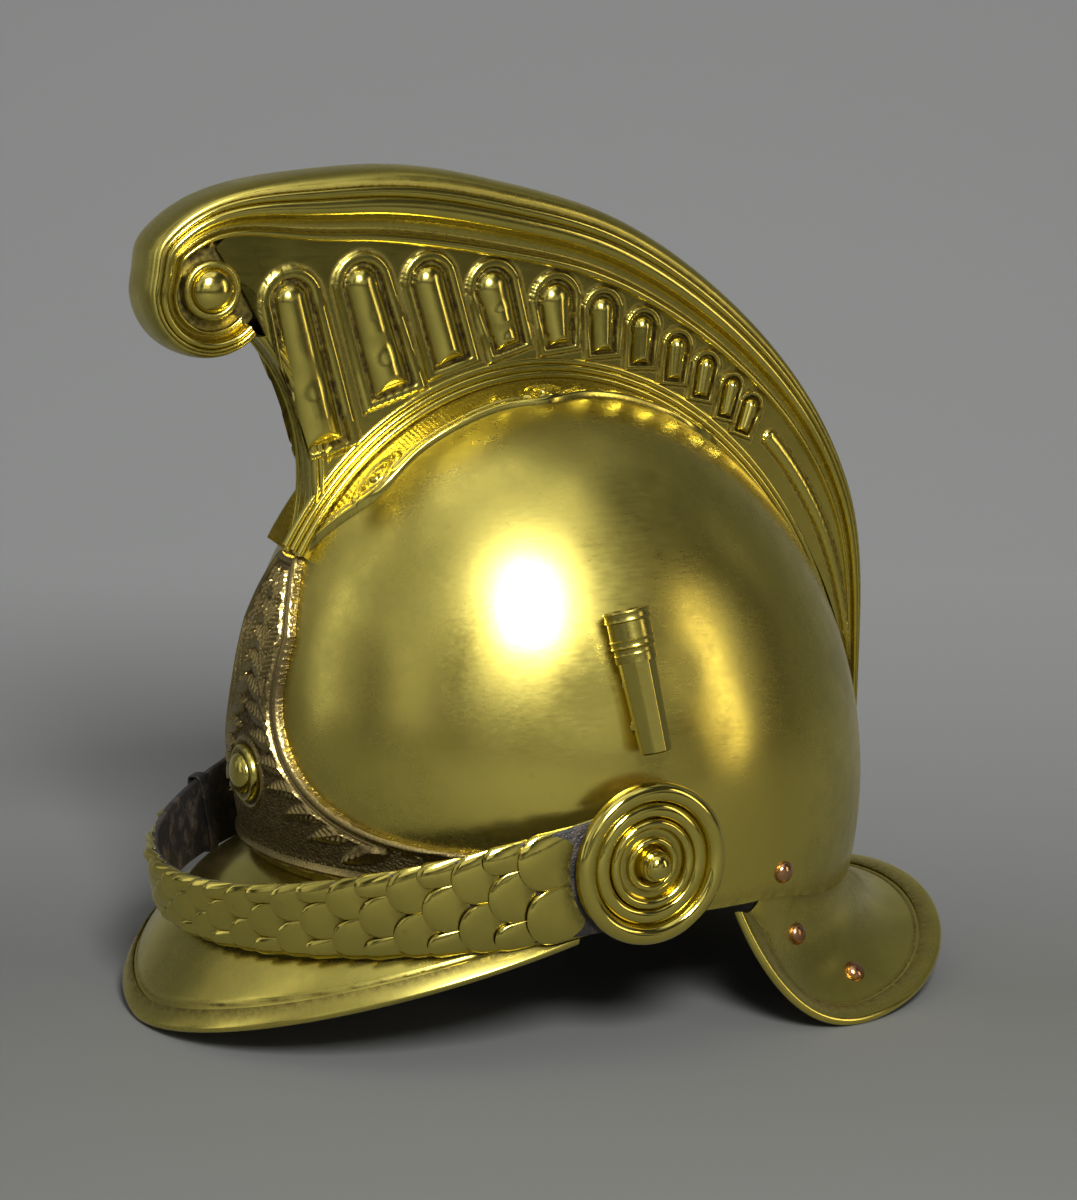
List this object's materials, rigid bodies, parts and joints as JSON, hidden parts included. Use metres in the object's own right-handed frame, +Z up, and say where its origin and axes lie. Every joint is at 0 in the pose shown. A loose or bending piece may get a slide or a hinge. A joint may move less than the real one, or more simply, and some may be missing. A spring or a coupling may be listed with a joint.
{
  "type": "firefighter helmet",
  "caption": "Polished brass parade fire helmet with tall combed crest, scrolled front, leaf-worked front plate and scaled chinstrap.",
  "frame": {"origin": "middle of the footprint, on the ground plane that the front peak and the nape guard's low lobes stand on", "axes": "+X to the wearer's left, +Y to the rear, +Z up; the wearer faces -Y"},
  "size_m": [0.2218, 0.3045, 0.29],
  "materials": {
    "brass_polished": "polished",
    "brass_aged": "aged",
    "copper_rivet": "polished copper colour",
    "black_leather": "grained",
    "tan_leather": "worn",
    "iron_fixing": "dull"
  },
  "bodies": {
    "helmet": {"skull_shell": "brass_polished", "front_peak": "brass_polished", "front_peak_binding": "brass_polished", "nape_guard": "brass_polished", "nape_guard_binding": "brass_polished", "brim_rivets": "copper_rivet", "crest_top_band": "brass_aged", "crest_cornice_left": "brass_polished", "crest_cornice_right": "brass_polished", "volute_bosses": "brass_polished", "crest_side_left": "brass_aged", "crest_side_right": "brass_aged", "crest_foot_beads": "brass_aged", "crest_front_strip": "brass_aged", "crest_flange_left": "brass_polished", "crest_flange_right": "brass_polished", "flange_studs": "brass_aged", "crest_bolts": "iron_fixing", "front_plate": "brass_aged", "plate_border": "brass_polished", "plate_leaves": "brass_aged", "plate_boss": "brass_polished", "plate_studs": "iron_fixing", "inner_nuts": "iron_fixing", "pivot_bosses": "brass_aged", "rosettes": "brass_polished", "pivot_bolts": "copper_rivet", "pivot_nuts": "iron_fixing", "plume_socket": "brass_aged", "socket_collar": "brass_aged", "liner_headband": "tan_leather", "liner_tongues": "tan_leather"},
    "chinstrap": {"strap_leather_left": "black_leather", "strap_leather_right": "black_leather", "chin_scales_left": "brass_polished", "chin_scales_right": "brass_polished", "strap_tongue": "black_leather", "buckle_frame": "brass_polished", "strap_keeper": "black_leather"},
    "prong": {"buckle_prong": "brass_polished"}
  },
  "joints": [
    {"name": "chinstrap_swing", "type": "hinge", "parent": "helmet", "child": "chinstrap", "pos_m": [0, -0.0095, 0.068], "axis": [-1, 0, 0], "range_deg": [0, 28]},
    {"name": "buckle_prong", "type": "hinge", "parent": "chinstrap", "child": "prong", "pos_m": [-0.07015, -0.10927, 0.04915], "axis": [0, 0.1857, -0.9826], "range_deg": [0, 80]}
  ]
}
